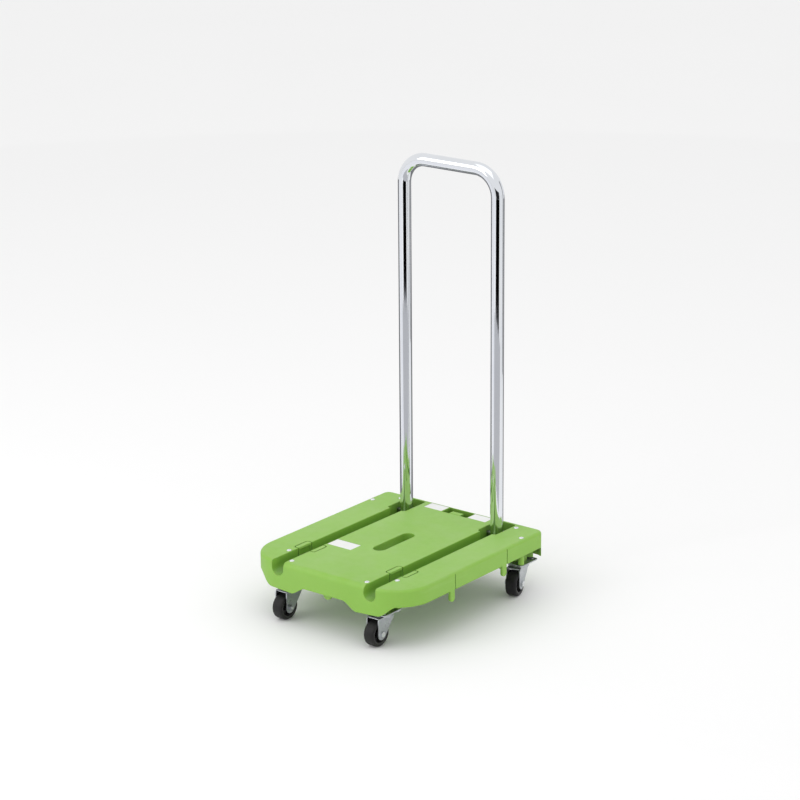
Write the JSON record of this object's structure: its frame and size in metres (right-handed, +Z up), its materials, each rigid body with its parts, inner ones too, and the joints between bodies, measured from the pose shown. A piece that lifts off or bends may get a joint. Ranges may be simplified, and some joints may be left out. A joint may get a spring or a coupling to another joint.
{
  "type": "folding platform cart",
  "caption": "Small folding platform cart with a moulded green deck on swivel casters and a chrome U-shaped push handle that folds into grooves in the deck.",
  "frame": {"origin": "on the floor, under the middle of the bounding box", "axes": "+X to the right across the deck (seen from the front), +Y from the front to the rear where the handle stands, +Z up"},
  "size_m": [0.382, 0.44, 0.831],
  "materials": {
    "deck_plastic": "satin moulded",
    "chrome_tube": "bright chrome",
    "chrome_steel": "bright plated",
    "zinc_steel": "zinc plated",
    "steel": "plain, oiled",
    "black_plastic": "satin moulded",
    "rubber": "matt",
    "label_white": "matt film"
  },
  "bodies": {
    "base": {"deck": "deck_plastic", "pivot_shaft": "steel", "shaft_rings": "steel", "lever_pin": "steel", "lever_spring": "steel", "caster_bolts_front": "chrome_steel", "caster_bolts_rear": "chrome_steel", "caster_nuts_front": "zinc_steel", "caster_nuts_rear": "zinc_steel", "label_front": "label_white", "label_rear_left": "label_white", "label_rear_right": "label_white", "plate_front_left": "zinc_steel", "plate_front_right": "zinc_steel", "plate_rear_left": "zinc_steel", "plate_rear_right": "zinc_steel", "balls_front_left": "chrome_steel", "balls_front_right": "chrome_steel", "balls_rear_left": "chrome_steel", "balls_rear_right": "chrome_steel", "kingpin_front_left": "zinc_steel", "kingpin_front_right": "zinc_steel", "kingpin_rear_left": "zinc_steel", "kingpin_rear_right": "zinc_steel"},
    "handle": {"handle_tube": "chrome_tube", "handle_foot_left": "black_plastic", "handle_foot_right": "black_plastic"},
    "lever": {"release_lever": "deck_plastic"},
    "lock": {"lock_bar": "zinc_steel"},
    "swivel_front_left": {"fork_front_left": "zinc_steel", "axle_front_left": "chrome_steel", "axle_nut_front_left": "zinc_steel"},
    "wheel_front_left": {"tyre_front_left": "rubber", "core_front_left": "black_plastic", "bush_front_left": "steel"},
    "swivel_front_right": {"fork_front_right": "zinc_steel", "axle_front_right": "chrome_steel", "axle_nut_front_right": "zinc_steel"},
    "wheel_front_right": {"tyre_front_right": "rubber", "core_front_right": "black_plastic", "bush_front_right": "steel"},
    "swivel_rear_left": {"fork_rear_left": "zinc_steel", "axle_rear_left": "chrome_steel", "axle_nut_rear_left": "zinc_steel"},
    "wheel_rear_left": {"tyre_rear_left": "rubber", "core_rear_left": "black_plastic", "bush_rear_left": "steel"},
    "swivel_rear_right": {"fork_rear_right": "zinc_steel", "axle_rear_right": "chrome_steel", "axle_nut_rear_right": "zinc_steel"},
    "wheel_rear_right": {"tyre_rear_right": "rubber", "core_rear_right": "black_plastic", "bush_rear_right": "steel"}
  },
  "joints": [
    {"name": "handle_fold", "type": "hinge", "parent": "base", "child": "handle", "pos_m": [0, 0.1775, 0.1057], "axis": [1, 0, 0], "range_deg": [0, 90]},
    {"name": "lever_tilt", "type": "hinge", "parent": "base", "child": "lever", "pos_m": [0, 0.193, 0.091], "axis": [-1, 0, 0], "range_deg": [0, 14.1], "stiffness_Nm_per_rad": 0.6, "springref_deg": -20.05},
    {"name": "lock_slide", "type": "slide", "parent": "base", "child": "lock", "axis": [0, 1, 0], "range_m": [0, 0.0036]},
    {"name": "swivel_front_left", "type": "hinge", "parent": "base", "child": "swivel_front_left", "pos_m": [-0.1095, -0.176, 0.06], "axis": [0, 0, 1], "continuous": true},
    {"name": "roll_front_left", "type": "hinge", "parent": "swivel_front_left", "child": "wheel_front_left", "pos_m": [-0.1095, -0.195, 0.025], "axis": [1, 0, 0], "continuous": true},
    {"name": "swivel_front_right", "type": "hinge", "parent": "base", "child": "swivel_front_right", "pos_m": [0.1095, -0.176, 0.06], "axis": [0, 0, 1], "continuous": true},
    {"name": "roll_front_right", "type": "hinge", "parent": "swivel_front_right", "child": "wheel_front_right", "pos_m": [0.1095, -0.195, 0.025], "axis": [1, 0, 0], "continuous": true},
    {"name": "swivel_rear_left", "type": "hinge", "parent": "base", "child": "swivel_rear_left", "pos_m": [-0.1605, 0.179, 0.06], "axis": [0, 0, 1], "continuous": true},
    {"name": "roll_rear_left", "type": "hinge", "parent": "swivel_rear_left", "child": "wheel_rear_left", "pos_m": [-0.16542, 0.16065, 0.025], "axis": [0.9659, -0.2588, 0], "continuous": true},
    {"name": "swivel_rear_right", "type": "hinge", "parent": "base", "child": "swivel_rear_right", "pos_m": [0.1605, 0.179, 0.06], "axis": [0, 0, 1], "continuous": true},
    {"name": "roll_rear_right", "type": "hinge", "parent": "swivel_rear_right", "child": "wheel_rear_right", "pos_m": [0.16542, 0.16065, 0.025], "axis": [0.9659, 0.2588, 0], "continuous": true}
  ],
  "couplings": [
    {"joint": "lever_tilt", "follows": "lock_slide", "rad_per_m": 68}
  ]
}
